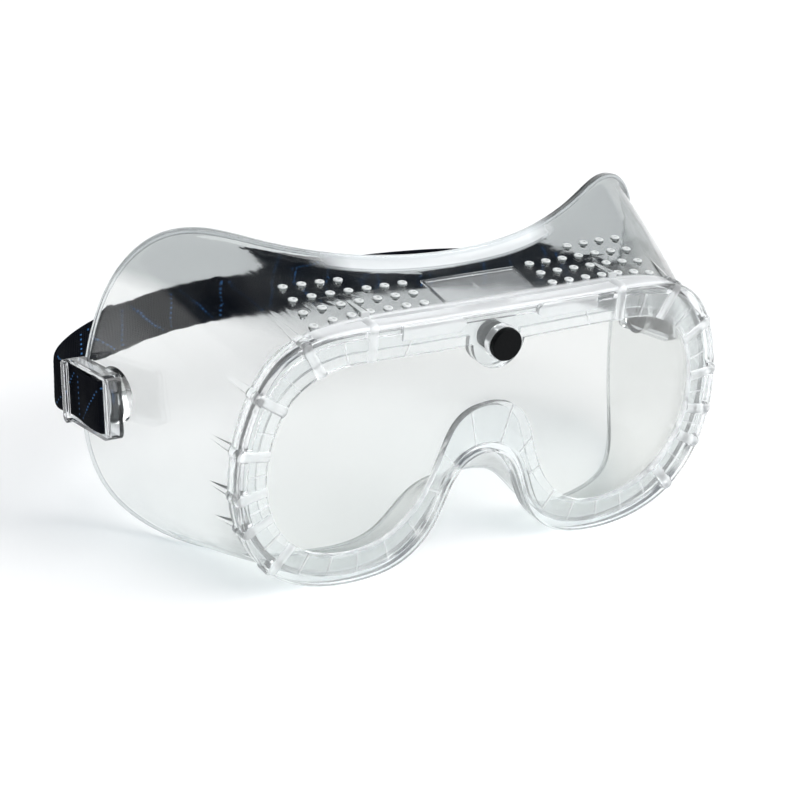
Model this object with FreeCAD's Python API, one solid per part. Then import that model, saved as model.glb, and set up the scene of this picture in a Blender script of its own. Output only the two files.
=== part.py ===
import FreeCAD, Part
import math
import os

# Safety goggles: a one-piece clear soft frame (bezel, skirt, vents and side lugs), a flat lens in the
# bezel's groove, a press stud that locks the lens, and an elastic headband on two swivelling buckles.
#
# Design frame, in millimetres: X across the face, Y from the bezel's front face (0) back towards the
# face, Z up from the middle of the eye lobes. Every piece is shifted at the end, so that the origin is
# at the bottom centre of the whole object's box, which stands on the bezel's lobes and cheek edges.

# ---- driving dimensions -------------------------------------------------------------------------

LOBE_X = 41.5               # middle of each eye lobe
LOBE_CENTRE = (LOBE_X, 0.0)

RIM_DEPTH = 5.5             # bezel, front to back
LIP_THICK = 1.5             # front lip over the lens edge
LENS_THICK = 2.0
LENS_GAP = 0.1              # between the lens and the groove's two walls
GROOVE_INSET = 2.5          # groove's floor, in from the bezel's outline
LENS_INSET = 2.7
REAR_LIP_STEP = 2.0         # the rear lip's opening is this much wider than the front lip's
RIM_ROUND = 0.6             # rounding of the bezel's outer front edge
CHANNEL_OUTER = 1.0         # channel in the bezel's front face, in from the outline
CHANNEL_INNER = 3.4
CHANNEL_DEPTH = 0.9
RIB_R = 2.1                 # rounded ribs that bridge the channel and turn over the bezel's edge
RIB_SUNK = 1.35             # their centre line, behind the front face and in from the outline
TICK_WIDTH = 0.5            # fine cross ribs of the front lip
TICK_HEIGHT = 0.25
TICK_SUNK = 0.4
TICK_GAP = 0.2              # from the lip's two edges
BLOCK_HEIGHT = 0.8          # raised blocks beside the stud's tab
BLOCK_OUTLINE = [(13.6, 36.0), (12.0, 34.6), (12.0, 32.9), (13.6, 31.6), (32.0, 31.6), (32.0, 36.0)]

WALL = 1.6                  # skirt wall
SKIRT_START_Y = 4.4         # the skirt's front end, buried in the bezel's rear lip

STUD_Z = 26.9
STUD_HEAD_R = 4.75
STUD_HEAD_THICK = 1.8
STUD_ROUND = 0.4
STUD_FACE_Y = -4.3
STUD_SHANK_R = 2.0
FIT_GAP = 0.05              # radial clearance of every running fit
COLLAR_R = 5.0              # moulded collar round the shank
TAB_R = 8.5                 # tab of both lips round the stud
SOCKET_R = 4.2
SOCKET_THICK = 1.8
SOCKET_GAP = 0.1            # between the socket and the rear lip
SHANK_TAIL = 0.4            # how far the shank stands out of the socket

VENT_R = 0.8
VENT_PITCH_X = 5.72
VENT_PITCH_Y = 5.9
VENT_FIRST_X = 21.2
VENT_FIRST_Y = 7.0
VENT_COLUMNS = 7
VENT_ROWS = 4
VENT_LAST_ROW_SKIP = 3      # the last row has holes only in the outer columns
VENT_COLLAR_R = 1.3
VENT_COLLAR_HEIGHT = 0.4

PANEL_SLOPE = 0.145         # rise of the top panel per millimetre backwards

LABEL_WIDTH = 31.0
LABEL_DEPTH = 13.6
LABEL_LINE = 0.9
LABEL_HEIGHT = 0.35         # above the top panel
LABEL_SUNK = 0.65
LABEL_Y = 11.8

FIN_WIDE = 2.4              # at the bezel
FIN_NARROW = 0.9            # at the rear end
FIN_LENGTH = 12.0
FIN_HEIGHT = 1.6            # above the skirt, at the bezel
FIN_SUNK = 0.5              # below the skirt's surface
FIN_ANGLES = (91, 60, 33, 8, -12, -28, -50)     # round the lobe's middle, in degrees
TICK_ANGLES = (112, 76, 46, 20, -2, -20, -39, -62, -76, -91, -107, -124, -146)
NOSE_CENTRE = (0.0, -22.0)
NOSE_TICK_ANGLES = (18, 48, 76)

PIVOT_Y = 54.0              # axis of the side lugs, along X
PIVOT_Z = 2.6
PAD_X = 94.2                # outer face of the lug's pad
PAD_R = 7.5
PAD_ROOT_R = 9.0
PAD_ROOT_X = 89.3           # the pad's root lies inside the skirt's wall, and leans with it
PAD_ROOT_LEAN = 9.2         # degrees
LUG_NECK_R = 2.5
LUG_NECK_LENGTH = 1.6
LUG_HEAD_R = 3.6
LUG_HEAD_THICK = 0.6

BUCKLE_TILT = 10.0          # the buckle's front end is raised by this angle
BUCKLE_LENGTH = 27.0
BUCKLE_HEIGHT = 18.4
PLATE_LIFT = 0.2
PLATE_THICK = 1.2
RAIL = 1.2                  # top and bottom rails, and their thickness
# Heights of the rails and bars above the pad's face, and the bars' places behind the lug's axis. The band
# lies over the middle bar and under the rear one, so their heights leave its thickness free.
RAIL_START = 0.5
RAIL_TOP = 4.9
BAR_LOW = 3.75
BAR_TOP = 4.75
REAR_BAR_LOW = 5.3
REAR_BAR_TOP = 6.8
FRONT_BAR_WIDE = 2.2
MIDDLE_BAR = (-8.0, -3.5)
REAR_BAR_WIDE = 2.7
BAR_ROUND = 0.45
BUCKLE_CORNER = 2.5

BAND_WIDTH = 15.0
BAND_THICK = 1.1
# Poles of the band's path on the right side: behind the head (X, Y, Z), the turn into the buckle, then
# along the buckle as distance behind the lug's axis and height above the pad's face.
BAND_REAR = [
    (0.0, 107.35, 3.0), (18.0, 107.35, 3.0), (40.0, 105.6, 2.8), (56.0, 102.2, 2.3), (70.0, 97.8, 1.5),
    (84.0, 91.6, 0.4), (94.3, 84.3, -0.8)]
BAND_TURN = (98.9, 77.5, -1.5)
BAND_OUTER_RUN = [(18.5, 5.3), (15.0, 4.5), (11.6, 4.2), (7.5, 4.4), (3.5, 4.9), (-1.0, 5.5), (-4.5, 5.7),
                  (-8.0, 5.6)]
FOLD_U = -9.3               # middle of the fold round the middle bar
TAIL_W = 3.0                # the tail runs back under the bars
TAIL_U = (-8.0, -3.5, 1.0, 5.5, 9.5, 13.0)

# Bezel outline, right half, from the top centre to the nose: X and Z.
BEZEL_HALF = [
    (0.0, 36.8), (18.0, 36.8), (35.0, 36.9), (52.5, 36.7), (67.8, 31.2), (76.8, 16.6), (79.9, 0.0),
    (77.6, -17.2), (68.0, -32.3), (52.5, -39.6), (39.5, -40.7), (26.5, -38.0), (16.5, -29.0),
    (11.6, -17.8), (6.6, -10.4), (0.0, -8.2)]

# Front lip's opening, right half, in the same order.
OPENING_HALF = [
    (0.0, 26.4), (20.0, 26.5), (40.0, 26.8), (54.0, 25.6), (64.0, 19.6), (69.7, 8.0), (70.9, -4.0),
    (67.4, -17.0), (58.0, -27.0), (44.0, -30.9), (31.0, -28.6), (21.0, -19.5), (15.4, -6.5),
    (9.8, 4.2), (0.0, 7.9)]

# Skirt stations, from the top centre round to the nose: the front end (X, Z at SKIRT_START_Y), the rear
# edge (X, Y, Z), how far the wall bulges between them, and how far the rear lip turns outwards.
SKIRT = [
    ((0.0, 37.6), (0.0, 28.2, 43.0), 0.0, 2.8),
    ((8.0, 37.6), (8.0, 28.2, 43.0), 0.0, 2.8),
    ((20.0, 37.7), (19.0, 30.4, 43.1), 0.0, 2.8),
    ((34.5, 37.8), (33.0, 34.0, 43.9), -0.3, 2.8),
    ((50.0, 37.3), (52.0, 41.8, 46.9), -0.7, 2.8),
    ((60.0, 34.4), (66.2, 50.5, 50.9), -0.3, 3.0),
    ((67.2, 29.2), (78.6, 56.0, 49.0), 0.8, 2.6),
    ((72.4, 22.4), (87.9, 60.0, 39.2), 1.2, 2.2),
    ((76.2, 12.0), (92.6, 63.4, 25.6), 1.8, 1.7),
    ((78.2, 0.0), (94.2, 69.5, 4.0), 2.4, 1.3),
    ((76.6, -14.0), (93.9, 68.6, -17.4), 2.2, 1.3),
    ((70.2, -27.0), (89.9, 60.0, -33.6), 1.6, 1.2),
    ((59.5, -36.0), (78.0, 41.5, -40.4), 1.0, 1.0),
    ((46.0, -39.6), (62.4, 26.5, -41.0), 0.5, 0.8),
    ((33.0, -39.2), (42.0, 19.0, -41.0), 0.0, 0.5),
    ((21.5, -33.6), (27.5, 16.5, -38.2), 0.0, 0.4),
    ((14.2, -23.0), (19.5, 16.6, -29.5), 0.0, 0.4),
    ((9.6, -13.6), (13.0, 16.6, -22.4), 0.0, 0.4),
    ((4.2, -9.0), (5.0, 13.2, -19.4), 0.0, 0.4),
    ((0.0, -9.0), (0.0, 13.2, -19.4), 0.0, 0.4)]
LIP_BACK = 1.6              # length of the turned rear lip along the skirt
WALL_STEPS = (0.0, 0.3, 0.65, 1.0)


# ---- curves and sheets --------------------------------------------------------------------------

def vector(x, y, z):
    return FreeCAD.Vector(x, y, z)


def mirrored(shape):
    """The shape on the other side of the goggles' middle plane."""
    return shape.mirror(vector(0, 0, 0), vector(1, 0, 0))


def closed_outline(half):
    """Closed curve in the plane Y = 0 through a half outline and its mirror image."""
    points = [vector(x, 0, z) for x, z in half]
    points += [vector(-x, 0, z) for x, z in reversed(half[1:-1])]
    curve = Part.BSplineCurve()
    curve.interpolate(Points=points, PeriodicFlag=True)
    return curve


def inset_outline(curve, inset, count=72):
    """The outline moved inwards by a distance, through evenly spaced points."""
    points = []
    first, last = curve.FirstParameter, curve.LastParameter
    for i in range(count):
        t = first + (last - first) * i / count
        tangent = curve.tangent(t)[0]
        inward = vector(-tangent.z, 0, tangent.x)
        points.append(curve.value(t) - inward * inset)
    moved = Part.BSplineCurve()
    moved.interpolate(Points=points, PeriodicFlag=True)
    return moved


def plate(curve, y_front, y_back):
    """A flat plate with the curve as its outline."""
    face = Part.Face(Part.Wire(curve.toShape()))
    face.translate(vector(0, y_front, 0))
    return face.extrude(vector(0, y_back - y_front, 0))


def rod(radius, start, end):
    """A round rod from one point to another."""
    axis = end - start
    return Part.makeCylinder(radius, axis.Length, start, axis)


def bar(low, high, round_axis, radius):
    """A box between two corners, with its four edges along one axis rounded."""
    box = Part.makeBox(high.x - low.x, high.y - low.y, high.z - low.z, low)
    edges = [e for e in box.Edges if abs(e.tangentAt(0).dot(round_axis)) > 0.99]
    return box.makeFillet(radius, edges)


def solid_from_faces(faces):
    """A closed solid from faces that meet edge to edge."""
    shell = Part.makeShell(faces)
    shell.sewShape()
    solid = Part.makeSolid(Part.Shell(shell.Faces))
    if solid.Volume < 0:
        solid.reverse()
    return solid


def clamped_knots(count):
    """Knots and multiplicities of a cubic spline with this many poles, clamped at both ends."""
    spans = count - 3
    knots = [i / spans for i in range(spans + 1)]
    return knots, [4] + [1] * (spans - 1) + [4]


def pole_surface(grid):
    """Smooth cubic surface that is drawn along a grid of poles."""
    u_knots, u_mults = clamped_knots(len(grid))
    v_knots, v_mults = clamped_knots(len(grid[0]))
    surface = Part.BSplineSurface()
    surface.buildFromPolesMultsKnots(grid, u_mults, v_mults, u_knots, v_knots, False, False, 3, 3)
    return surface


def strip(rail_a, rail_b):
    """Face stretched between two smooth curves of the same number of poles."""
    knots, mults = clamped_knots(len(rail_a))
    surface = Part.BSplineSurface()
    surface.buildFromPolesMultsKnots([rail_a, rail_b], [2, 2], mults, [0.0, 1.0], knots, False, False, 1, 3)
    return surface.toShape()


def grid_sheet(outer, inner):
    """A curved wall between two grids of poles of the same size."""
    faces = [pole_surface(grid).toShape() for grid in (outer, inner)]
    for i in (0, -1):
        faces.append(strip(outer[i], inner[i]))
        faces.append(strip([row[i] for row in outer], [row[i] for row in inner]))
    return solid_from_faces(faces)


def ribbon(path, width, thick):
    """A flat ribbon along a path of (position, up direction) pairs."""
    count = len(path)
    rails = [[], [], [], []]
    for i, (point, up) in enumerate(path):
        ahead = path[min(i + 1, count - 1)][0]
        behind = path[max(i - 1, 0)][0]
        side = (ahead - behind).cross(up)
        side.normalize()
        corners = ((1, 1), (1, -1), (-1, -1), (-1, 1))
        for rail, (a, b) in zip(rails, corners):
            rail.append(point + side * (a * thick / 2) + up * (b * width / 2))
    faces = [strip(rails[i], rails[(i + 1) % 4]) for i in range(4)]
    for end in (0, -1):
        corners = [rail[end] for rail in rails]
        faces.append(Part.Face(Part.makePolygon(corners + corners[:1])))
    return solid_from_faces(faces)


# ---- frame --------------------------------------------------------------------------------------

def skirt_grid():
    """Outer surface points of the right half of the skirt, station by station."""
    grid = []
    for (front_x, front_z), rear, bulge, lip in SKIRT:
        front = vector(front_x, SKIRT_START_Y, front_z)
        tip = vector(*rear)
        outward = vector(rear[0] - LOBE_X * min(1.0, rear[0] / LOBE_X), 0, rear[2] + 5.0)
        if outward.Length < 1e-6 or rear[0] < LOBE_X:
            outward = vector(0, 0, 1 if rear[2] > 0 else -1)
        outward.normalize()
        base = tip - outward * lip - vector(0, LIP_BACK, 0)
        row = []
        for step in WALL_STEPS:
            point = front + (base - front) * step
            row.append(point + outward * (bulge * 4 * step * (1 - step)))
        row.append(base + outward * (lip * 0.35) + vector(0, LIP_BACK * 0.65, 0))
        row.append(tip)
        grid.append(row)
    return grid


def inner_grid(grid, wall):
    """The grid moved inwards by the wall's thickness."""
    rows, columns = len(grid), len(grid[0])
    inner = []
    for i in range(rows):
        row = []
        for j in range(columns):
            along = grid[min(i + 1, rows - 1)][j] - grid[max(i - 1, 0)][j]
            if i in (0, rows - 1):
                along = vector(1 if i == 0 else -1, 0, 0)
            back = grid[i][min(j + 1, columns - 1)] - grid[i][max(j - 1, 0)]
            inward = back.cross(along)
            inward.normalize()
            row.append(grid[i][j] + inward * wall)
        inner.append(row)
    return inner


def skin_height(skin, x, y):
    """Height of the top panel's outer surface."""
    upright = Part.makeLine(vector(x, y, 20), vector(x, y, 60))
    return max(v.Z for v in skin.section(upright).Vertexes)


def vent_places():
    """Vent positions of the right half: X and Y."""
    places = []
    for row in range(VENT_ROWS):
        first = VENT_LAST_ROW_SKIP if row == VENT_ROWS - 1 else 0
        for column in range(first, VENT_COLUMNS):
            places.append((VENT_FIRST_X + column * VENT_PITCH_X, VENT_FIRST_Y + row * VENT_PITCH_Y))
    return places


def make_bezel(outline, opening):
    """Ring with a channel, ribs, a groove for the lens, and the tab that the stud goes through."""
    front = plate(outline, 0, RIM_DEPTH)
    front = front.makeFillet(RIM_ROUND, [min(front.Edges, key=lambda e: e.CenterOfMass.y)])
    channel = plate(inset_outline(outline, CHANNEL_OUTER), -1, CHANNEL_DEPTH)
    front = front.cut(channel.cut(plate(inset_outline(outline, CHANNEL_INNER), -2, RIM_DEPTH)))
    ribs = []
    for angle in FIN_ANGLES:
        ribs += make_rib(outline, opening, angle)
    front = front.fuse(ribs + [mirrored(rib) for rib in ribs])
    tab_axis = vector(0, 0, STUD_Z)
    tab = rod(TAB_R, tab_axis, tab_axis + vector(0, RIM_DEPTH, 0))
    rear_start = LIP_THICK + LENS_THICK + 2 * LENS_GAP
    ring = front.cut(plate(opening, -1, rear_start))
    ring = ring.cut(plate(inset_outline(opening, -REAR_LIP_STEP), rear_start - 0.01, RIM_DEPTH + 1))
    ring = ring.fuse(tab.common(front))
    ring = ring.cut(plate(inset_outline(outline, GROOVE_INSET), LIP_THICK, rear_start))
    collar = rod(COLLAR_R, vector(0, STUD_FACE_Y + STUD_HEAD_THICK, STUD_Z), vector(0, 0.5, STUD_Z))
    hole = rod(STUD_SHANK_R + FIT_GAP, vector(0, -10, STUD_Z), vector(0, 20, STUD_Z))
    return ring.fuse(collar).cut(hole)


def skin_reach(skin, radial, y):
    """Distance from the lobe's middle to the skirt's outer surface in one direction."""
    start = vector(LOBE_X, y, 0)
    ray = Part.makeLine(start, start + radial * 60)
    return max((v.Point - start).Length for v in skin.section(ray).Vertexes)


def direction(angle):
    """Unit vector in the bezel's plane, at an angle from +X."""
    turn = math.radians(angle)
    return vector(math.cos(turn), 0, math.sin(turn))


def make_fin(skin, angle):
    """Wedge from the bezel's back onto the skirt, narrower towards its rear end."""
    radial = direction(angle)
    start_y, end_y = RIM_DEPTH - 0.6, RIM_DEPTH + FIN_LENGTH
    profile = [(start_y, skin_reach(skin, radial, start_y) + FIN_HEIGHT)]
    for y in (end_y, (start_y + end_y) / 2, start_y):
        profile.append((y, skin_reach(skin, radial, y) - FIN_SUNK))
    across = radial.cross(vector(0, 1, 0))
    sides = []
    for side in (-0.5, 0.5):
        corners = []
        for y, reach in profile:
            width = FIN_WIDE + (FIN_NARROW - FIN_WIDE) * (y - start_y) / (end_y - start_y)
            corners.append(vector(LOBE_X, y, 0) + radial * reach + across * (side * width))
        sides.append(corners)
    outlines = list(sides)
    for i in range(len(profile)):
        j = (i + 1) % len(profile)
        outlines.append([sides[0][i], sides[0][j], sides[1][j], sides[1][i]])
    return solid_from_faces([Part.Face(Part.makePolygon(o + o[:1])) for o in outlines])


def curve_reach(curve, centre, radial):
    """Distance from a centre to a closed curve in the bezel's plane, in one direction."""
    start = vector(centre[0], 0, centre[1])
    ray = Part.makeLine(start, start + radial * 60)
    return min((v.Point - start).Length for v in curve.toShape().section(ray).Vertexes)


def make_rib(outline, opening, angle):
    """Rounded rib from the opening across the front lip and over the bezel's outer edge."""
    radial = direction(angle)
    middle = vector(LOBE_X, RIB_SUNK, 0)
    inner = middle + radial * (curve_reach(opening, LOBE_CENTRE, radial) - 1.0)
    outer = middle + radial * (curve_reach(outline, LOBE_CENTRE, radial) - RIB_SUNK)
    back = vector(outer.x, RIM_DEPTH - 0.2, outer.z)
    return [rod(RIB_R, inner, outer), rod(RIB_R, outer, back), Part.makeSphere(RIB_R, outer)]


def make_tick(outline, opening, centre, angle):
    """Fine cross rib on the front lip, between the opening and the channel."""
    radial = direction(angle)
    at_opening = curve_reach(opening, centre, radial)
    at_outline = curve_reach(outline, centre, radial)
    if at_outline > at_opening:
        start, end = at_opening, at_outline - CHANNEL_INNER
    else:
        start, end = at_outline + CHANNEL_INNER, at_opening
    start, end = start + TICK_GAP, end - TICK_GAP
    tick = Part.makeBox(end - start, TICK_HEIGHT + TICK_SUNK, TICK_WIDTH,
                        vector(start, -TICK_HEIGHT, -TICK_WIDTH / 2))
    tick.rotate(vector(0, 0, 0), vector(0, 1, 0), -angle)
    tick.translate(vector(centre[0], 0, centre[1]))
    return tick


def make_block():
    """Raised block that fills the channel beside the stud's tab."""
    points = [vector(x, -BLOCK_HEIGHT, z) for x, z in BLOCK_OUTLINE]
    return Part.Face(Part.makePolygon(points + points[:1])).extrude(vector(0, BLOCK_HEIGHT + 1.2, 0))


def make_label_border(skin):
    """Raised plain rectangle on the top panel."""
    outer = Part.makeBox(LABEL_WIDTH, LABEL_DEPTH, LABEL_HEIGHT + LABEL_SUNK,
                         vector(-LABEL_WIDTH / 2, -LABEL_DEPTH / 2, -LABEL_SUNK))
    inner = Part.makeBox(LABEL_WIDTH - 2 * LABEL_LINE, LABEL_DEPTH - 2 * LABEL_LINE, 3.0,
                         vector(LABEL_LINE - LABEL_WIDTH / 2, LABEL_LINE - LABEL_DEPTH / 2, -1.5))
    border = outer.cut(inner)
    border.rotate(vector(0, 0, 0), vector(1, 0, 0), math.degrees(math.atan(PANEL_SLOPE)))
    border.translate(vector(0, LABEL_Y, skin_height(skin, 0, LABEL_Y)))
    return border


def make_side_lug():
    """Pad on the skirt's side and the mushroom lug that the buckle turns on, right side."""
    axis = vector(1, 0, 0)
    depth = 4.0             # past the wall, to be cut off along its lean
    root = vector(PAD_ROOT_X, PIVOT_Y, PIVOT_Z)
    pad = Part.makeCone(PAD_ROOT_R, PAD_R, PAD_X - PAD_ROOT_X + depth, root - axis * depth, axis)
    inside = Part.makeBox(20, 60, 60, vector(-20, -30, -30))
    inside.rotate(vector(0, 0, 0), vector(0, 0, 1), -PAD_ROOT_LEAN)
    inside.translate(root)
    pad = pad.cut(inside)
    face = vector(PAD_X, PIVOT_Y, PIVOT_Z)
    neck_end = face + axis * LUG_NECK_LENGTH
    neck = rod(LUG_NECK_R, face - axis, neck_end)
    head = rod(LUG_HEAD_R, neck_end, neck_end + axis * LUG_HEAD_THICK)
    return pad.fuse([neck, head])


def make_frame():
    outline = closed_outline(BEZEL_HALF)
    opening = closed_outline(OPENING_HALF)
    outer = skirt_grid()
    half = grid_sheet(outer, inner_grid(outer, WALL))
    skin = pole_surface(outer).toShape()
    half = half.fuse([make_fin(skin, angle) for angle in FIN_ANGLES] + [make_side_lug()])
    collars = []
    holes = []
    for x, y in vent_places():
        top = skin_height(skin, x, y)
        collars.append(rod(VENT_COLLAR_R, vector(x, y, top - 0.8), vector(x, y, top + VENT_COLLAR_HEIGHT)))
        holes.append(rod(VENT_R, vector(x, y, top - 6), vector(x, y, top + 4)))
    half = half.fuse(collars).cut(holes)
    trim = [make_block()]
    for angle in TICK_ANGLES:
        trim.append(make_tick(outline, opening, LOBE_CENTRE, angle))
    for angle in NOSE_TICK_ANGLES:
        trim.append(make_tick(outline, opening, NOSE_CENTRE, angle))
    bezel = make_bezel(outline, opening).fuse(trim + [mirrored(piece) for piece in trim])
    frame = bezel.fuse([half, mirrored(half), make_label_border(skin)])
    return frame.removeSplitter()


# ---- lens and stud ------------------------------------------------------------------------------

def make_lens():
    outline = closed_outline(BEZEL_HALF)
    start = LIP_THICK + LENS_GAP
    lens = plate(inset_outline(outline, LENS_INSET), start, start + LENS_THICK)
    return lens.cut(rod(STUD_SHANK_R + FIT_GAP, vector(0, -5, STUD_Z), vector(0, 15, STUD_Z)))


def make_stud():
    face = vector(0, STUD_FACE_Y, STUD_Z)
    head = Part.makeCylinder(STUD_HEAD_R, STUD_HEAD_THICK, face, vector(0, 1, 0))
    rim = min(head.Edges, key=lambda e: e.CenterOfMass.y)
    head = head.makeFillet(STUD_ROUND, [rim])
    end_y = RIM_DEPTH + SOCKET_GAP + SOCKET_THICK + SHANK_TAIL
    shank = rod(STUD_SHANK_R, vector(0, STUD_FACE_Y + 1, STUD_Z), vector(0, end_y, STUD_Z))
    return head.fuse(shank)


def make_stud_socket():
    start = vector(0, RIM_DEPTH + SOCKET_GAP, STUD_Z)
    ring = rod(SOCKET_R, start, start + vector(0, SOCKET_THICK, 0))
    return ring.cut(rod(STUD_SHANK_R + FIT_GAP, start - vector(0, 1, 0), start + vector(0, 5, 0)))


# ---- buckles and headband -----------------------------------------------------------------------

def buckle_place(u, w):
    """Point at a distance u behind the lug's axis and w out from the pad's face, right side."""
    tilt = math.radians(BUCKLE_TILT)
    return vector(PAD_X + w, PIVOT_Y + u * math.cos(tilt), PIVOT_Z - u * math.sin(tilt))


def buckle_up():
    tilt = math.radians(BUCKLE_TILT)
    return vector(0, math.sin(tilt), math.cos(tilt))


def make_buckle():
    """Back plate with the lug's bore, two rails, and three bars that the band is threaded round."""
    half_u = BUCKLE_LENGTH / 2
    half_v = BUCKLE_HEIGHT / 2
    across = vector(1, 0, 0)
    upright = vector(0, 0, 1)
    back = bar(vector(PLATE_LIFT, -half_u, -half_v),
               vector(PLATE_LIFT + PLATE_THICK, half_u, half_v), across, BUCKLE_CORNER)
    pieces = []
    for side in (-1, 1):
        low_v = min(side * half_v, side * (half_v - RAIL))
        for u_low, u_high, top in ((-half_u, half_u - REAR_BAR_WIDE, RAIL_TOP),
                                   (half_u - REAR_BAR_WIDE, half_u, REAR_BAR_TOP)):
            rail = Part.makeBox(top - RAIL_START, u_high - u_low, RAIL, vector(RAIL_START, u_low, low_v))
            pieces.append(rail)
    bars = ((-half_u, -half_u + FRONT_BAR_WIDE, BAR_LOW, RAIL_TOP),
            (*MIDDLE_BAR, BAR_LOW, BAR_TOP),
            (half_u - REAR_BAR_WIDE, half_u, REAR_BAR_LOW, REAR_BAR_TOP))
    for u_low, u_high, w_low, w_high in bars:
        pieces.append(bar(vector(w_low, u_low, -half_v), vector(w_high, u_high, half_v), upright, BAR_ROUND))
    buckle = back.fuse(pieces)
    corners = Part.makeBox(20, BUCKLE_LENGTH, BUCKLE_HEIGHT, vector(-1, -half_u, -half_v))
    edges = [e for e in corners.Edges if abs(e.tangentAt(0).dot(across)) > 0.99]
    buckle = buckle.common(corners.makeFillet(BUCKLE_CORNER, edges))
    buckle = buckle.cut(rod(LUG_NECK_R + FIT_GAP, vector(-1, 0, 0), vector(3, 0, 0)))
    buckle.rotate(vector(0, 0, 0), across, -BUCKLE_TILT)
    buckle.translate(vector(PAD_X, PIVOT_Y, PIVOT_Z))
    return buckle.removeSplitter()


def band_half_path():
    """Path of the right half of the band, from the middle of the back to its free end."""
    level = vector(0, 0, 1)
    tilted = buckle_up()
    path = [(vector(x, y, z), level) for x, y, z in BAND_REAR]
    half_tilted = level + tilted
    half_tilted.normalize()
    path.append((vector(*BAND_TURN), half_tilted))
    for u, w in BAND_OUTER_RUN:
        path.append((buckle_place(u, w), tilted))
    top_w = BAND_OUTER_RUN[-1][1]
    fold_w = (top_w + TAIL_W) / 2
    fold_r = (top_w - TAIL_W) / 2
    for degrees in (60, 30, 0, -30, -60):
        turn = math.radians(degrees)
        place = buckle_place(FOLD_U - fold_r * math.cos(turn), fold_w + fold_r * math.sin(turn))
        path.append((place, tilted))
    for u in TAIL_U:
        path.append((buckle_place(u, TAIL_W), tilted))
    return path


def make_headband():
    half = ribbon(band_half_path(), BAND_WIDTH, BAND_THICK)
    return half.fuse(mirrored(half)).removeSplitter()


# ---- output -------------------------------------------------------------------------------------

def main():
    os.makedirs("parts", exist_ok=True)
    buckle = make_buckle()
    nodes = {
        "frame": make_frame(),
        "lens": make_lens(),
        "lens_stud": make_stud(),
        "stud_socket": make_stud_socket(),
        "buckle_left": buckle,
        "buckle_right": mirrored(buckle),
        "headband": make_headband()}
    box = Part.makeCompound(list(nodes.values())).BoundBox
    shift = vector(-box.Center.x, -box.Center.y, -box.ZMin)
    print("box", box, "shift", shift)
    for name, shape in nodes.items():
        shape.translate(shift)
        shape.exportStep("parts/" + name + ".step")
        print(name, "valid", shape.isValid(), "solids", len(shape.Solids), "volume", round(shape.Volume, 1))


main()
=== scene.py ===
import math

import bpy
import numpy as np
from mathutils import Matrix, Vector
from mathutils.bvhtree import BVHTree


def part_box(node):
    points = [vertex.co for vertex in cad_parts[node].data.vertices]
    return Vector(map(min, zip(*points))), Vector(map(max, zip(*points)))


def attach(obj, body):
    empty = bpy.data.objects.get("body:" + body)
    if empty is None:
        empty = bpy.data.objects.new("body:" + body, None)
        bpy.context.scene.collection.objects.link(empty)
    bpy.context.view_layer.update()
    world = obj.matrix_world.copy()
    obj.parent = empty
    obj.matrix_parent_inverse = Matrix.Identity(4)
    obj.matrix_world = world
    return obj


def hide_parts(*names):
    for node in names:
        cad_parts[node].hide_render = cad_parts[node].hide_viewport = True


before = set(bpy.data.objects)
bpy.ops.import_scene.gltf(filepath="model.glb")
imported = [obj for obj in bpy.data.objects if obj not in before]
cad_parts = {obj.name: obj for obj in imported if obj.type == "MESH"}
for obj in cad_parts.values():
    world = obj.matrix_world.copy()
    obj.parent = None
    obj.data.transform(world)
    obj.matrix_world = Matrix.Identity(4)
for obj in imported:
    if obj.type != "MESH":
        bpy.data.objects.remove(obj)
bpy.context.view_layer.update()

# Safety goggles. Design coordinates are in millimetres, as in the CAD: X across the face, Y from the
# bezel's front face back, Z up from the middle of the lobes. place() turns them into the row frame.

MM = 0.001
STUD_FACE_Y, STUD_Z = -4.3, 26.9        # the stud's front face and axis in design coordinates
stud_low, stud_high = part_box("lens_stud")
SHIFT = Vector((0.0, stud_low[1] - STUD_FACE_Y * MM, (stud_low[2] + stud_high[2]) / 2 - STUD_Z * MM))


def place(x, y, z):
    """A design point in metres, in the row frame."""
    return Vector((x, y, z)) * MM + SHIFT


# ---- camera, floor and light --------------------------------------------------------------------

CAMERA_AZIMUTH, CAMERA_ELEVATION, CAMERA_ROLL = -32.99, 24.49, 4.68     # degrees
CAMERA_DISTANCE = 597.4
CAMERA_TARGET = (-31.0, 0.0, 13.9)
CAMERA_LENS, CAMERA_SENSOR = 99.0, 36.0
CAMERA_CLIP = (0.01, 50.0)              # metres, as are the floor's and the lights' sizes

FLOOR_HALF = 6.0
FLOOR_COLOUR = (0.94, 0.94, 0.94, 1)

KEY_TOWARDS, KEY_STRENGTH, KEY_SOFTNESS = (0.35, -0.50, 1.0), 3.2, 60.0
FILL_PLACE, FILL_SIZE, FILL_POWER = (0.9, -0.6, 0.9), 0.5, 2.0

WORLD_STOPS = [                         # from straight down, 0, to straight up, 1
    (0.0, (0.80, 0.82, 0.82, 1)), (0.71, (0.82, 0.83, 0.83, 1)),        # pale walls
    (0.76, (0.04, 0.055, 0.075, 1)), (1.0, (0.03, 0.04, 0.055, 1))]     # dark ceiling


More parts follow.
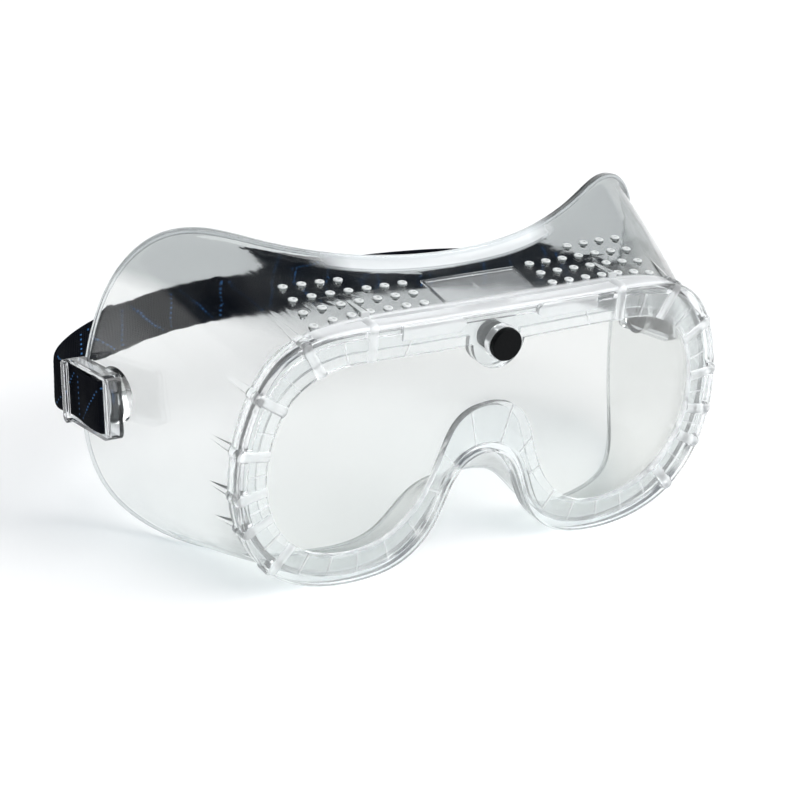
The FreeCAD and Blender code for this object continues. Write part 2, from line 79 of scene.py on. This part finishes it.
def add_camera():
    az, el, roll = (math.radians(a) for a in (CAMERA_AZIMUTH, CAMERA_ELEVATION, CAMERA_ROLL))
    back = Vector((math.sin(az) * math.cos(el), -math.cos(az) * math.cos(el), math.sin(el)))
    level = Vector((math.cos(az), math.sin(az), 0.0))
    upright = back.cross(level)
    right = level * math.cos(roll) + upright * math.sin(roll)
    up = upright * math.cos(roll) - level * math.sin(roll)
    data = bpy.data.cameras.new("camera")
    data.lens, data.sensor_width = CAMERA_LENS, CAMERA_SENSOR
    data.clip_start, data.clip_end = CAMERA_CLIP
    camera = bpy.data.objects.new("camera", data)
    axes = Matrix((right, up, back)).transposed().to_4x4()
    camera.matrix_world = Matrix.Translation(place(*CAMERA_TARGET) + back * (CAMERA_DISTANCE * MM)) @ axes
    bpy.context.scene.collection.objects.link(camera)
    bpy.context.scene.camera = camera


def add_light(name, data, towards, position=(0.0, 0.0, 0.0)):
    """A light that shines from the direction that towards points in."""
    light = bpy.data.objects.new(name, data)
    light.location = position
    light.rotation_euler = (-Vector(towards)).to_track_quat("-Z", "Y").to_euler()
    bpy.context.scene.collection.objects.link(light)


def add_key():
    """Light from one direction, as soft as a source that fills an angle of KEY_SOFTNESS degrees."""
    data = bpy.data.lights.new("key", "SUN")
    data.energy, data.angle = KEY_STRENGTH, math.radians(KEY_SOFTNESS)
    add_light("key", data, KEY_TOWARDS)


def add_fill():
    """A small square source that faces the goggles."""
    data = bpy.data.lights.new("fill", "AREA")
    data.shape, data.size, data.size_y = "RECTANGLE", FILL_SIZE, FILL_SIZE
    data.energy = FILL_POWER
    add_light("fill", data, FILL_PLACE, FILL_PLACE)


def add_node(tree, kind, inputs=None, **settings):
    """A shader node with its settings, and its inputs set to values or linked to sockets."""
    node = tree.nodes.new(kind)
    for key, value in settings.items():
        setattr(node, key, value)
    for key, value in (inputs or {}).items():
        socket = node.inputs[key]
        if isinstance(value, bpy.types.NodeSocket):
            tree.links.new(value, socket)
        else:
            socket.default_value = value
    return node


def empty_tree(owner):
    """The node tree of a material or world, with nothing in it."""
    owner.use_nodes = True
    owner.node_tree.nodes.clear()
    return owner.node_tree


def add_world():
    world = bpy.data.worlds.new("studio")
    bpy.context.scene.world = world
    tree = empty_tree(world)
    coords = add_node(tree, "ShaderNodeTexCoord").outputs["Generated"]
    height = add_node(tree, "ShaderNodeSeparateXYZ", {0: coords}).outputs[2]
    colours = add_node(tree, "ShaderNodeValToRGB", {0: span(tree, height, 0.0, 1.0, -1.0, 1.0)})
    elements = colours.color_ramp.elements
    while len(elements) < len(WORLD_STOPS):
        elements.new(0.5)
    for element, (position, colour) in zip(elements, WORLD_STOPS):
        element.position, element.color = position, colour
    shade = add_node(tree, "ShaderNodeBackground", {"Color": colours.outputs[0], "Strength": 1.0})
    add_node(tree, "ShaderNodeOutputWorld", {0: shade.outputs[0]})


def add_floor():
    corners = [(FLOOR_HALF * x, FLOOR_HALF * y, 0) for x, y in ((-1, -1), (1, -1), (1, 1), (-1, 1))]
    mesh = bpy.data.meshes.new("floor")
    mesh.from_pydata(corners, [], [(0, 1, 2, 3)])
    floor = bpy.data.objects.new("floor", mesh)
    bpy.context.scene.collection.objects.link(floor)
    material = bpy.data.materials.new("floor")
    tree = empty_tree(material)
    surface(tree, add_node(tree, "ShaderNodeBsdfDiffuse", {"Color": FLOOR_COLOUR}).outputs[0])
    mesh.materials.append(material)


# ---- shader parts -------------------------------------------------------------------------------

def surface(tree, shader):
    add_node(tree, "ShaderNodeOutputMaterial", {0: shader})


def object_coords(tree):
    return add_node(tree, "ShaderNodeTexCoord").outputs["Object"]


def noise(tree, scale, detail=3.0, coords=None):
    """Noise of the object's coordinates, or of other ones."""
    if coords is None:
        coords = object_coords(tree)
    return add_node(tree, "ShaderNodeTexNoise",
                    {"Vector": coords, "Scale": scale, "Detail": detail}).outputs[0]


def span(tree, value, low, high, start=0.35, end=0.65):
    """Maps start..end, as a rule a noise value's middle range, to low..high."""
    return add_node(tree, "ShaderNodeMapRange", {0: value, 1: start, 2: end, 3: low, 4: high}).outputs[0]


def rise(tree, value, start, end):
    return span(tree, value, 0.0, 1.0, start, end)


def fade(tree, value, start, end):
    return span(tree, value, 1.0, 0.0, start, end)


def calc(tree, operation, *values):
    """One arithmetic step of the shader."""
    return add_node(tree, "ShaderNodeMath", dict(enumerate(values)), operation=operation).outputs[0]


def product(tree, first, *others):
    for other in others:
        first = calc(tree, "MULTIPLY", first, other)
    return first


def mix_colours(tree, share, first, second):
    """From the first colour, at a share of zero, to the second."""
    return add_node(tree, "ShaderNodeMix", {0: share, 6: first, 7: second}, data_type="RGBA").outputs[2]


def mix_shaders(tree, share, first, second):
    return add_node(tree, "ShaderNodeMixShader", {0: share, 1: first, 2: second}).outputs[0]


def bump(tree, height, strength, distance, **below):
    """Normals bent by a height; below may give the normals to start from, as Normal."""
    return add_node(tree, "ShaderNodeBump",
                    {"Height": height, "Strength": strength, "Distance": distance, **below}).outputs[0]


# ---- clear plastics -----------------------------------------------------------------------------

ROUGH_SCALE, WAVE_SCALE, HAZE_SCALE = 90.0, 55.0, 70.0      # of the plastics' noises, per metre
# The haze's white, which on the bezel's top edge is a painted highlight.
CLOUD_AND_HIGHLIGHT_COLOUR = (0.97, 0.98, 0.99, 1)
CLOUD_THROUGH = 0.35                    # share of the cloudy plastic's light that goes on to the far side
PVC_IOR = 1.46
PVC_SHADE = (0.80, 0.82, 0.83)

# Zones of the soft frame. Each pair is where the zone's edge starts and ends, in design millimetres.
# The second tint greys the skirt's top: painted shade, standing in for how dark the top looks at a grazing
# view.
FRONT_TINT, TOP_SHADE_TINT = (0.97, 0.985, 0.99, 1), (0.50, 0.525, 0.525, 1)
FRONT_Y, FRONT_HAZE = (5.2, 6.4), 0.06                      # the bezel
TOP_Z = (33.0, 38.0)                                        # the skirt's top, above its sides
TRIM_Y, TRIM_HAZE = (-0.20, -0.02), 0.22                    # what stands in front of the bezel's front face
RIM_Z, RIM_PAINTED_HIGHLIGHT = (35.4, 36.2), 0.58                        # the bezel's top edge, whitened by haze as a painted highlight
LABEL_HALF_X, LABEL_HALF_Y, LABEL_Y, LABEL_EDGE, LABEL_HAZE = 15.2, 6.6, 11.8, 0.6, 0.15
FLANGE_X, FLANGE_Y, FLANGE_HAZE = (30.0, 42.0), (24.6, 25.4), 0.52
FLANGE_CURVE = 5.5                                          # per metre: its front line bends back sideways
FIN_Y, FIN_ROUGH = (8.0, 26.0), 0.22                        # the skirt's sides, matt where the fins stand


def rows_y(pair):
    return [place(0, y, 0).y for y in pair]


def rows_z(pair):
    return [place(0, 0, z).z for z in pair]


def pvc_zones(tree, tint, haze):
    """Tint, haze and added roughness of the soft frame.

    The bezel is bright, with hazy trim and a top edge whitened by haze as a painted highlight. The top is
    greyer, a painted shade, with a hazy label and flange.
    """
    x, y, z = add_node(tree, "ShaderNodeSeparateXYZ", {0: object_coords(tree)}).outputs
    off_x = calc(tree, "ABSOLUTE", x)
    front, behind = fade(tree, y, *rows_y(FRONT_Y)), rise(tree, y, *rows_y(FRONT_Y))
    top, below = rise(tree, z, *rows_z(TOP_Z)), fade(tree, z, *rows_z(TOP_Z))
    # the top greyed as painted shade, the bezel brighter
    tone = mix_colours(tree, front, mix_colours(tree, top, (*tint, 1), TOP_SHADE_TINT), FRONT_TINT)

    trim = fade(tree, y, *rows_y(TRIM_Y))
    rim = product(tree, rise(tree, z, *rows_z(RIM_Z)), front)
    off_label = calc(tree, "ABSOLUTE", calc(tree, "SUBTRACT", y, place(0, LABEL_Y, 0).y))
    label = product(tree, fade(tree, off_x, (LABEL_HALF_X - LABEL_EDGE) * MM, LABEL_HALF_X * MM),
                    fade(tree, off_label, (LABEL_HALF_Y - LABEL_EDGE) * MM, LABEL_HALF_Y * MM), top)
    bent_y = calc(tree, "SUBTRACT", y, product(tree, x, x, FLANGE_CURVE))
    flange = product(tree, rise(tree, bent_y, *rows_y(FLANGE_Y)),
                     fade(tree, off_x, *(edge * MM for edge in FLANGE_X)), top)
    # The top edge's share is a painted highlight; the other zones' shares are haze.
    for zone, added in ((front, FRONT_HAZE), (trim, TRIM_HAZE), (rim, RIM_PAINTED_HIGHLIGHT), (label, LABEL_HAZE),
                        (flange, FLANGE_HAZE)):
        haze = calc(tree, "MULTIPLY_ADD", zone, added, haze)

    fins = product(tree, fade(tree, y, *rows_y(FIN_Y)), behind, below)
    return tone, haze, calc(tree, "MULTIPLY", fins, FIN_ROUGH)


def clear_plastic(name, tint, rough, haze, shade, wave, ior=1.5, zones=False):
    """Moulded clear plastic: refraction, a little haze, and light that passes through it.

    rough and haze are ranges, shade tints the light that lamps send through, and wave is how uneven
    the surface is, in metres.
    """
    material = bpy.data.materials.new(name)
    tree = empty_tree(material)
    roughness = span(tree, noise(tree, ROUGH_SCALE), *rough)
    # the haze share also carries the painted highlight of the frame's top edge
    tone, haze_and_rim_highlight = (*tint, 1), span(tree, noise(tree, HAZE_SCALE), *haze)
    if zones:
        tone, haze_and_rim_highlight, more_rough = pvc_zones(tree, tint, haze_and_rim_highlight)
        roughness = calc(tree, "ADD", roughness, more_rough)
    glass = add_node(tree, "ShaderNodeBsdfPrincipled",
                     {"Base Color": tone, "Roughness": roughness, "IOR": ior, "Transmission Weight": 1.0,
                      "Normal": bump(tree, noise(tree, WAVE_SCALE, 1.0), 1.0, wave)})
    near = add_node(tree, "ShaderNodeBsdfDiffuse", {"Color": CLOUD_AND_HIGHLIGHT_COLOUR})
    far = add_node(tree, "ShaderNodeBsdfTranslucent", {"Color": CLOUD_AND_HIGHLIGHT_COLOUR})
    cloud_and_highlight = mix_shaders(tree, CLOUD_THROUGH, near.outputs[0], far.outputs[0])
    hazed_and_highlit = mix_shaders(tree, haze_and_rim_highlight, glass.outputs[0], cloud_and_highlight)
    passing = add_node(tree, "ShaderNodeBsdfTransparent", {"Color": (*shade, 1)})
    path = add_node(tree, "ShaderNodeLightPath")
    surface(tree, mix_shaders(tree, path.outputs["Is Shadow Ray"], hazed_and_highlit, passing.outputs[0]))
    return material


# White standing in for the light that the vent collars catch: a painted highlight on the vent rims.
GLINT_COLOUR, GLINT_THROUGH = (0.97, 0.98, 0.98, 1), 0.45
GLINT_CLEAR = (0.02, 0.18)            # share of light that goes straight through


def painted_glint_pvc():
    """Whitish soft plastic, which scatters light through itself; on the vent rims its white is a painted
    highlight, standing in for the light that the vent collars catch.
    """
    material = bpy.data.materials.new("painted_glint_pvc")
    tree = empty_tree(material)
    near = add_node(tree, "ShaderNodeBsdfPrincipled",
                    {"Base Color": GLINT_COLOUR, "Roughness": span(tree, noise(tree, 700.0), 0.25, 0.45)})
    far = add_node(tree, "ShaderNodeBsdfTranslucent", {"Color": GLINT_COLOUR})
    body = mix_shaders(tree, GLINT_THROUGH, near.outputs[0], far.outputs[0])
    straight = add_node(tree, "ShaderNodeBsdfTransparent", {"Color": GLINT_COLOUR})
    clear = span(tree, noise(tree, 500.0), *GLINT_CLEAR)
    surface(tree, mix_shaders(tree, clear, body, straight.outputs[0]))
    return material


# ---- opaque materials ---------------------------------------------------------------------------

def black_plastic():
    material = bpy.data.materials.new("black_plastic")
    tree = empty_tree(material)
    grain = noise(tree, 2500.0, 2.0)
    shader = add_node(tree, "ShaderNodeBsdfPrincipled",
                      {"Base Color": (0.0025, 0.003, 0.0035, 1), "Roughness": span(tree, grain, 0.40, 0.60),
                       "Specular IOR Level": 0.08, "Normal": bump(tree, grain, 0.4, 0.05 * MM)})
    surface(tree, shader.outputs[0])
    return material


CORD_PITCH = 0.95                       # the elastic's cross ribs, in millimetres, as is all of its weave
WEAVE_PITCH = 0.7                       # the fine threads across the band's width
LINT_SCALE, PATCH_SCALE = 1.6, 0.12
BAND_DARK, BAND_LIGHT = (0.0012, 0.0015, 0.0026, 1), (0.0028, 0.0038, 0.0068, 1)
LINT_COLOUR = (0.0060, 0.0085, 0.0160, 1)
THREAD_DARK, THREAD_LIGHT = (0.008, 0.030, 0.070, 1), (0.045, 0.190, 0.480, 1)


def wave(tree, value, pitch):
    return calc(tree, "SINE", calc(tree, "MULTIPLY", value, 2 * math.pi / pitch))


def woven_elastic():
    """Near-black elastic: ribs across, plain weave between, and a faint navy mottle."""
    material = bpy.data.materials.new("woven_elastic")
    tree = empty_tree(material)
    uv = add_node(tree, "ShaderNodeUVMap", uv_map="weave").outputs[0]
    along, across, _ = add_node(tree, "ShaderNodeSeparateXYZ", {0: uv}).outputs
    weave = product(tree, wave(tree, along, CORD_PITCH), wave(tree, across, WEAVE_PITCH))
    lint = noise(tree, LINT_SCALE, 6.0, uv)
    colour = mix_colours(tree, span(tree, weave, 0.0, 1.0, -1.0, 1.0), BAND_DARK, BAND_LIGHT)
    colour = mix_colours(tree, span(tree, lint, 0.0, 0.35, 0.45, 0.75), colour, LINT_COLOUR)
    roughness = span(tree, noise(tree, PATCH_SCALE, 2.0, uv), 0.75, 0.95)
    bumps = bump(tree, lint, 0.5, 0.06 * MM, Normal=bump(tree, weave, 0.6, 0.08 * MM))
    shader = add_node(tree, "ShaderNodeBsdfPrincipled",
                      {"Base Color": colour, "Roughness": roughness, "Specular IOR Level": 0.05,
                       "Normal": bumps})
    surface(tree, shader.outputs[0])
    return material


def blue_thread():
    material = bpy.data.materials.new("blue_thread")
    tree = empty_tree(material)
    tone = mix_colours(tree, span(tree, noise(tree, 120.0, 2.0), 0.0, 1.0), THREAD_DARK, THREAD_LIGHT)
    shader = add_node(tree, "ShaderNodeBsdfPrincipled",
                      {"Base Color": tone, "Roughness": span(tree, noise(tree, 900.0), 0.5, 0.75),
                       "Specular IOR Level": 0.2})
    surface(tree, shader.outputs[0])
    return material


def dress(node, material):
    """Gives a CAD node's every slot one material."""
    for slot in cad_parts[node].material_slots:
        slot.link = "OBJECT"
        slot.material = material


# ---- meshes -------------------------------------------------------------------------------------

def ring_faces(rings, ring, closed, base=0):
    """Quads between rings of points, each with ring points; closed joins the last ring to the first."""
    faces = []
    for k in range(rings if closed else rings - 1):
        n = (k + 1) % rings
        for i in range(ring):
            j = (i + 1) % ring
            faces.append((base + k * ring + i, base + k * ring + j, base + n * ring + j, base + n * ring + i))
    return faces


def turned_over(face):
    """The same face seen from its other side, from the same first point."""
    return face[:1] + face[:0:-1]


def add_mesh(name, verts, faces):
    """A smooth mesh object from design points."""
    mesh = bpy.data.meshes.new(name)
    mesh.from_pydata([tuple(place(*v)) for v in verts], [], faces)
    mesh.polygons.foreach_set("use_smooth", [True] * len(mesh.polygons))
    mesh.update()
    piece = bpy.data.objects.new(name, mesh)
    bpy.context.scene.collection.objects.link(piece)
    return piece


def clamped_spline(poles, count):
    """Points of a clamped uniform cubic spline, at even parameter steps."""
    poles = np.asarray(poles, dtype=float)
    spans = len(poles) - 3
    knots = np.concatenate([[0.0] * 3, np.arange(spans + 1), [float(spans)] * 3])
    out = []
    for t in np.linspace(0.0, spans, count):
        k = min(int(t), spans - 1) + 3
        d = poles[k - 3:k + 1].copy()
        for r in range(1, 4):
            for j in range(3, r - 1, -1):
                i = j + k - 3
                a = (t - knots[i]) / (knots[i + 4 - r] - knots[i])
                d[j] = (1 - a) * d[j - 1] + a * d[j]
        out.append(d[3])
    return np.array(out)


def unit(vectors):
    return vectors / np.linalg.norm(vectors, axis=1)[:, None]


# ---- vents --------------------------------------------------------------------------------------

VENT_FIRST, VENT_PITCH = (21.2, 7.0), (5.72, 5.9)
VENT_ROWS = (range(0, 7), range(0, 7), range(0, 7), range(3, 7))    # columns of each row, front row first
VENT_COLLAR_HEIGHT = 0.4
VENT_COLLAR_MIDDLE = 1.05               # radius on the collar's top, between the hole and the edge
VENT_RING = 20
VENT_RIM = [(0.78, -0.6), (0.78, 0.42), (1.32, 0.42), (1.36, 0.52), (1.24, 0.72), (0.98, 0.84), (0.72, 0.80),
            (0.54, 0.62), (0.48, 0.30), (0.50, -0.6)]       # radius and height above the panel
OVER_FRAME = 70.0


def height_under(mesh_tree, x, y):
    """Height of the frame's mesh straight under a design point."""
    hit = mesh_tree.ray_cast(place(x, y, OVER_FRAME), Vector((0, 0, -1)))
    return (hit[0].z - SHIFT.z) / MM


def make_vent_rims():
    """Whitish rims that line the vent holes, each a small turned lip, whose white is a painted highlight for
    the light that the vent collars catch.
    """
    mesh_tree = BVHTree.FromObject(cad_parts["frame"], bpy.context.evaluated_depsgraph_get())
    verts, faces = [], []
    places = [(VENT_FIRST[0] + column * VENT_PITCH[0], VENT_FIRST[1] + row * VENT_PITCH[1], mirror)
              for row, columns in enumerate(VENT_ROWS) for column in columns for mirror in (1, -1)]
    for x, y, mirror in places:
        # the collar's top is level, so the panel lies one collar's height below it
        panel = height_under(mesh_tree, mirror * (x + VENT_COLLAR_MIDDLE), y) - VENT_COLLAR_HEIGHT
        faces += ring_faces(len(VENT_RIM), VENT_RING, True, len(verts))
        for r, h in VENT_RIM:
            for i in range(VENT_RING):
                turn = 2 * math.pi * i / VENT_RING
                verts.append((mirror * x + r * math.cos(turn), y + r * math.sin(turn), panel + h))
    return add_mesh("vent_rims", verts, faces)


# ---- rear bead ----------------------------------------------------------------------------------

# The skirt's rear edge, right half, from the top centre to the nose (X, Y, Z), as in the CAD.
REAR_EDGE = [
    (0.0, 28.2, 43.0), (8.0, 28.2, 43.0), (19.0, 30.4, 43.1), (33.0, 34.0, 43.9), (52.0, 41.8, 46.9),
    (66.2, 50.5, 50.9), (78.6, 56.0, 49.0), (87.9, 60.0, 39.2), (92.6, 63.4, 25.6), (94.2, 69.5, 4.0),
    (93.9, 68.6, -17.4), (89.9, 60.0, -33.6), (78.0, 41.5, -40.4), (62.4, 26.5, -41.0), (42.0, 19.0, -41.0),
    (27.5, 16.5, -38.2), (19.5, 16.6, -29.5), (13.0, 16.6, -22.4), (5.0, 13.2, -19.4), (0.0, 13.2, -19.4)]
BEAD_R = 0.75
BEAD_INSET = 0.75                       # towards the inside of the skirt
BEAD_POINTS, BEAD_RING = 260, 12
INSIDE_X, INSIDE_Z = (-60.0, 60.0), (-15.0, 20.0)           # the part of the inside that each point faces


def make_rear_bead():
    """Rounded bead that runs all round the skirt's rear edge."""
    half = clamped_spline(REAR_EDGE, BEAD_POINTS)
    full = np.concatenate([half, half[-2:0:-1] * (-1, 1, 1)])
    along = unit(np.roll(full, -1, axis=0) - np.roll(full, 1, axis=0))
    inside = np.stack([full[:, 0].clip(*INSIDE_X), full[:, 1], full[:, 2].clip(*INSIDE_Z)], axis=1)
    inward = inside - full
    inward = unit(inward - along * np.sum(inward * along, axis=1)[:, None])
    back = np.cross(inward, along)
    verts = []
    for n, point in enumerate(full):
        for i in range(BEAD_RING):
            turn = 2 * math.pi * i / BEAD_RING
            verts.append(point + inward[n] * (BEAD_INSET + BEAD_R * math.cos(turn))
                         + back[n] * (BEAD_R * math.sin(turn)))
    faces = [turned_over(face) for face in ring_faces(len(full), BEAD_RING, True)]
    return add_mesh("rear_bead", verts, faces)


# ---- headband -----------------------------------------------------------------------------------

PIVOT = (94.2, 54.0, 2.6)               # pad's face on the side lug's axis
BUCKLE_TILT = 10.0
BAND_WIDTH, BAND_THICK = 15.0, 1.1
BAND_REAR = [
    (0.0, 107.35, 3.0), (18.0, 107.35, 3.0), (40.0, 105.6, 2.8), (56.0, 102.2, 2.3), (70.0, 97.8, 1.5),
    (84.0, 91.6, 0.4), (94.3, 84.3, -0.8)]
BAND_TURN = (98.9, 77.5, -1.5)
BAND_OUTER_RUN = [                      # behind the lug's axis, and out from the pad's face
    (18.5, 5.3), (15.0, 4.5), (11.6, 4.2), (7.5, 4.4), (3.5, 4.9), (-1.0, 5.5), (-4.5, 5.7), (-8.0, 5.6)]
FOLD_U, TAIL_W = -9.3, 3.0
FOLD_TURNS = (60, 30, 0, -30, -60)      # degrees round the fold
TAIL_U = (-8.0, -3.5, 1.0, 5.5, 9.5, 13.0)
BAND_POINTS = 3000                      # points that the half band's length is measured on

CORD_DEPTH = 0.10
WARP_PITCH, WARP_DEPTH = 0.9, 0.04      # shallow furrows along the band
SELVEDGE_WAVE = 0.08                    # the edges draw in between ribs
BAND_STEP = CORD_PITCH / 6
ACROSS = 26                             # points across one face
ACROSS_EVEN = 0.8                       # one bunches them at the edges as a circle does, less spreads them
EDGE_POWER = 10                         # how square the selvedges are


def buckle_place(u, w):
    """Point u behind the lug's axis and w out from the pad's face, in design millimetres."""
    tilt = math.radians(BUCKLE_TILT)
    return np.array([PIVOT[0] + w, PIVOT[1] + u * math.cos(tilt), PIVOT[2] - u * math.sin(tilt)])


def band_poles():
    """Poles of the half band's middle line, with the direction of its width, as in the CAD."""
    tilt = math.radians(BUCKLE_TILT)
    level, tilted = np.array([0.0, 0.0, 1.0]), np.array([0.0, math.sin(tilt), math.cos(tilt)])
    half_tilted = (level + tilted) / np.linalg.norm(level + tilted)
    poles = [(np.array(p), level) for p in BAND_REAR] + [(np.array(BAND_TURN), half_tilted)]
    poles += [(buckle_place(u, w), tilted) for u, w in BAND_OUTER_RUN]
    top_w = BAND_OUTER_RUN[-1][1]
    fold_w, fold_r = (top_w + TAIL_W) / 2, (top_w - TAIL_W) / 2
    for turn in map(math.radians, FOLD_TURNS):
        u, w = FOLD_U - fold_r * math.cos(turn), fold_w + fold_r * math.sin(turn)
        poles.append((buckle_place(u, w), tilted))
    return poles + [(buckle_place(u, TAIL_W), tilted) for u in TAIL_U]


def band_frame(step):
    """The half band at even steps of length: lengths, points, width and thickness directions."""
    poles = band_poles()
    line = clamped_spline([p for p, _ in poles], BAND_POINTS)
    ups = clamped_spline([up for _, up in poles], BAND_POINTS)
    run = np.concatenate([[0.0], np.cumsum(np.linalg.norm(np.diff(line, axis=0), axis=1))])
    at = np.linspace(0.0, run[-1], int(round(run[-1] / step)) + 1)
    points = np.stack([np.interp(at, run, line[:, i]) for i in range(3)], axis=1)
    ups = np.stack([np.interp(at, run, ups[:, i]) for i in range(3)], axis=1)
    along = np.gradient(points, axis=0)
    along[0] = (1.0, 0.0, 0.0)
    side = unit(np.cross(along, ups))
    return at, points, unit(np.cross(side, along)), side


def band_section():
    """Cross-section of the band: (place across, height, which face), with thin rounded selvedges."""
    section = []
    for face in (1, -1):
        for i in range(ACROSS):
            v = math.cos(math.pi * (i + 0.5) / ACROSS) * face
            v = math.copysign(abs(v) ** ACROSS_EVEN, v)
            section.append((v, face * math.sqrt(1 - abs(v) ** EDGE_POWER), face))
    return section


def swell(place_along, pitch, phase=0.0):
    """A wave from zero to one and back over each pitch."""
    return 0.5 - 0.5 * math.cos(2 * math.pi * place_along / pitch + phase)


def make_headband():
    """The elastic, with ribs across that alternate between its two faces."""
    at, points, ups, side = band_frame(BAND_STEP)
    section = band_section()
    verts = []
    for n, length in enumerate(at):
        for v, h, face in section:
            rib = swell(length, CORD_PITCH, 0.0 if face > 0 else math.pi)
            warp = swell(v * BAND_WIDTH / 2, WARP_PITCH)
            thick = BAND_THICK / 2 - CORD_DEPTH * (1 - rib) - WARP_DEPTH * (1 - warp)
            wide = BAND_WIDTH / 2 - SELVEDGE_WAVE * (1 - rib)
            verts.append(points[n] + ups[n] * (v * wide) + side[n] * (h * thick))
    ring = len(section)
    half = np.array(verts).reshape(len(at), ring, 3)
    # the mirrored half keeps the same order round the section, so one strip of quads joins them
    full = np.concatenate([half[:0:-1] * (-1, 1, 1), half])
    rings = len(full)
    faces = ring_faces(rings, ring, False)
    faces.append(tuple(range(ring - 1, -1, -1)))
    faces.append(tuple((rings - 1) * ring + i for i in range(ring)))
    piece = add_mesh("headband_webbing", full.reshape(-1, 3), faces)

    lengths = np.concatenate([-at[:0:-1], at])
    widths = np.array([v * BAND_WIDTH / 2 for v, _, _ in section])
    corners = np.empty(len(piece.data.loops), dtype=np.int32)
    piece.data.loops.foreach_get("vertex_index", corners)
    places = np.stack([lengths[corners // ring], widths[corners % ring]], axis=1)
    layer = piece.data.uv_layers.new(name="weave")
    layer.data.foreach_set("uv", places.astype(np.float32).ravel())
    return piece


THREAD_PERIOD, THREAD_FIRST = 19.0, 7.0     # one upright and one slanted row of threads in each period
THREAD_SLANT = (-3.0, -16.0)            # the slanted row's ends, lower and upper, along from the upright row
THREAD_STEP = 1.5                       # from dot to dot
THREAD_REACH = 6.2                      # half length of a row across the band
THREAD_LONG, THREAD_WIDE, THREAD_HIGH = 0.42, 0.30, 0.14
THREAD_SUNK = 0.1                       # into the band's face
THREAD_LEVELS = ((0.0, 1.0), (0.6, 0.8), (0.9, 0.4))        # height and size, as shares
THREAD_RING = 8
THREAD_END = 1.0                        # bare length at the band's ends
PATH_STEP = 0.25                        # how finely the band's path is followed


def thread_places(total):
    """Places of the thread dots along and across the band, in millimetres from its middle."""
    places = []
    periods = int(total / THREAD_PERIOD) + 2
    for k in range(-periods, periods):
        start = k * THREAD_PERIOD + THREAD_FIRST
        rows = ((start, start), (start + THREAD_SLANT[0], start + THREAD_SLANT[1]))
        for low_u, high_u in rows:
            count = int(math.hypot(high_u - low_u, 2 * THREAD_REACH) / THREAD_STEP)
            for i in range(count):
                share = (i + 0.5) / count
                u = low_u + (high_u - low_u) * share
                if abs(u) < total - THREAD_END:
                    places.append((u, -THREAD_REACH + 2 * THREAD_REACH * share))
    return places


def make_threads():
    """Blue thread floats of the elastic's zigzag, small rounded stitches on both faces."""
    at, points, ups, side = band_frame(PATH_STEP)
    verts, faces = [], []
    for u, v in thread_places(at[-1]):
        n = min(int(round(abs(u) / (at[1] - at[0]))), len(at) - 2)
        mirror = np.array([-1.0 if u < 0 else 1.0, 1.0, 1.0])
        along = points[n + 1] - points[n]
        along /= np.linalg.norm(along)
        for face in (1, -1):
            base = len(verts)
            middle = points[n] + ups[n] * v + side[n] * (face * (BAND_THICK / 2 - THREAD_SUNK))
            for level, size in THREAD_LEVELS:
                for i in range(THREAD_RING):
                    turn = 2 * math.pi * i / THREAD_RING
                    verts.append((middle + along * (math.cos(turn) * THREAD_LONG * size)
                                  + ups[n] * (math.sin(turn) * THREAD_WIDE * size)
                                  + side[n] * (face * level * THREAD_HIGH)) * mirror)
            stitch = ring_faces(len(THREAD_LEVELS), THREAD_RING, False, base)
            last = base + (len(THREAD_LEVELS) - 1) * THREAD_RING
            stitch.append(tuple(last + i for i in range(THREAD_RING)))
            stitch.append(tuple(base + i for i in reversed(range(THREAD_RING))))
            inside_out = face * mirror[0] < 0
            faces += [tuple(reversed(f)) if inside_out else f for f in stitch]
    return add_mesh("headband_threads", verts, faces)


# ---- making -------------------------------------------------------------------------------------

bpy.context.scene.view_settings.view_transform = "Standard"
bpy.context.scene.cycles.max_bounces = 24
bpy.context.scene.cycles.transmission_bounces = 24
bpy.context.scene.cycles.transparent_max_bounces = 32

add_camera()
add_world()
add_floor()
add_key()
add_fill()

clear_pvc = clear_plastic(
    "clear_pvc", tint=(0.862, 0.872, 0.864), rough=(0.02, 0.06), haze=(0.0, 0.012), shade=PVC_SHADE,
    wave=0.15 * MM, ior=PVC_IOR, zones=True)
clear_lens = clear_plastic(
    "clear_lens", tint=(0.832, 0.842, 0.828), rough=(0.0, 0.01), haze=(0.0, 0.004), shade=(0.90, 0.91, 0.90),
    wave=0.01 * MM)
clear_buckle = clear_plastic(
    "clear_buckle", tint=(0.93, 0.945, 0.96), rough=(0.02, 0.05), haze=(0.0, 0.02), shade=(0.85, 0.86, 0.87),
    wave=0.08 * MM)
bead_pvc = clear_plastic(
    "bead_pvc", tint=(0.90, 0.92, 0.93), rough=(0.02, 0.06), haze=(0.05, 0.12), shade=PVC_SHADE,
    wave=0.05 * MM, ior=PVC_IOR)
black = black_plastic()
dress("frame", clear_pvc)
dress("lens", clear_lens)
dress("buckle_left", clear_buckle)
dress("buckle_right", clear_buckle)
dress("lens_stud", black)
dress("stud_socket", black)

rims = make_vent_rims()
# the rims' white is a painted highlight
rims.data.materials.append(painted_glint_pvc())
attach(rims, "goggles")

bead = make_rear_bead()
bead.data.materials.append(bead_pvc)
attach(bead, "goggles")

webbing = make_headband()
webbing.data.materials.append(woven_elastic())
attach(webbing, "band")
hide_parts("headband")
threads = make_threads()
threads.data.materials.append(blue_thread())
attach(threads, "band")
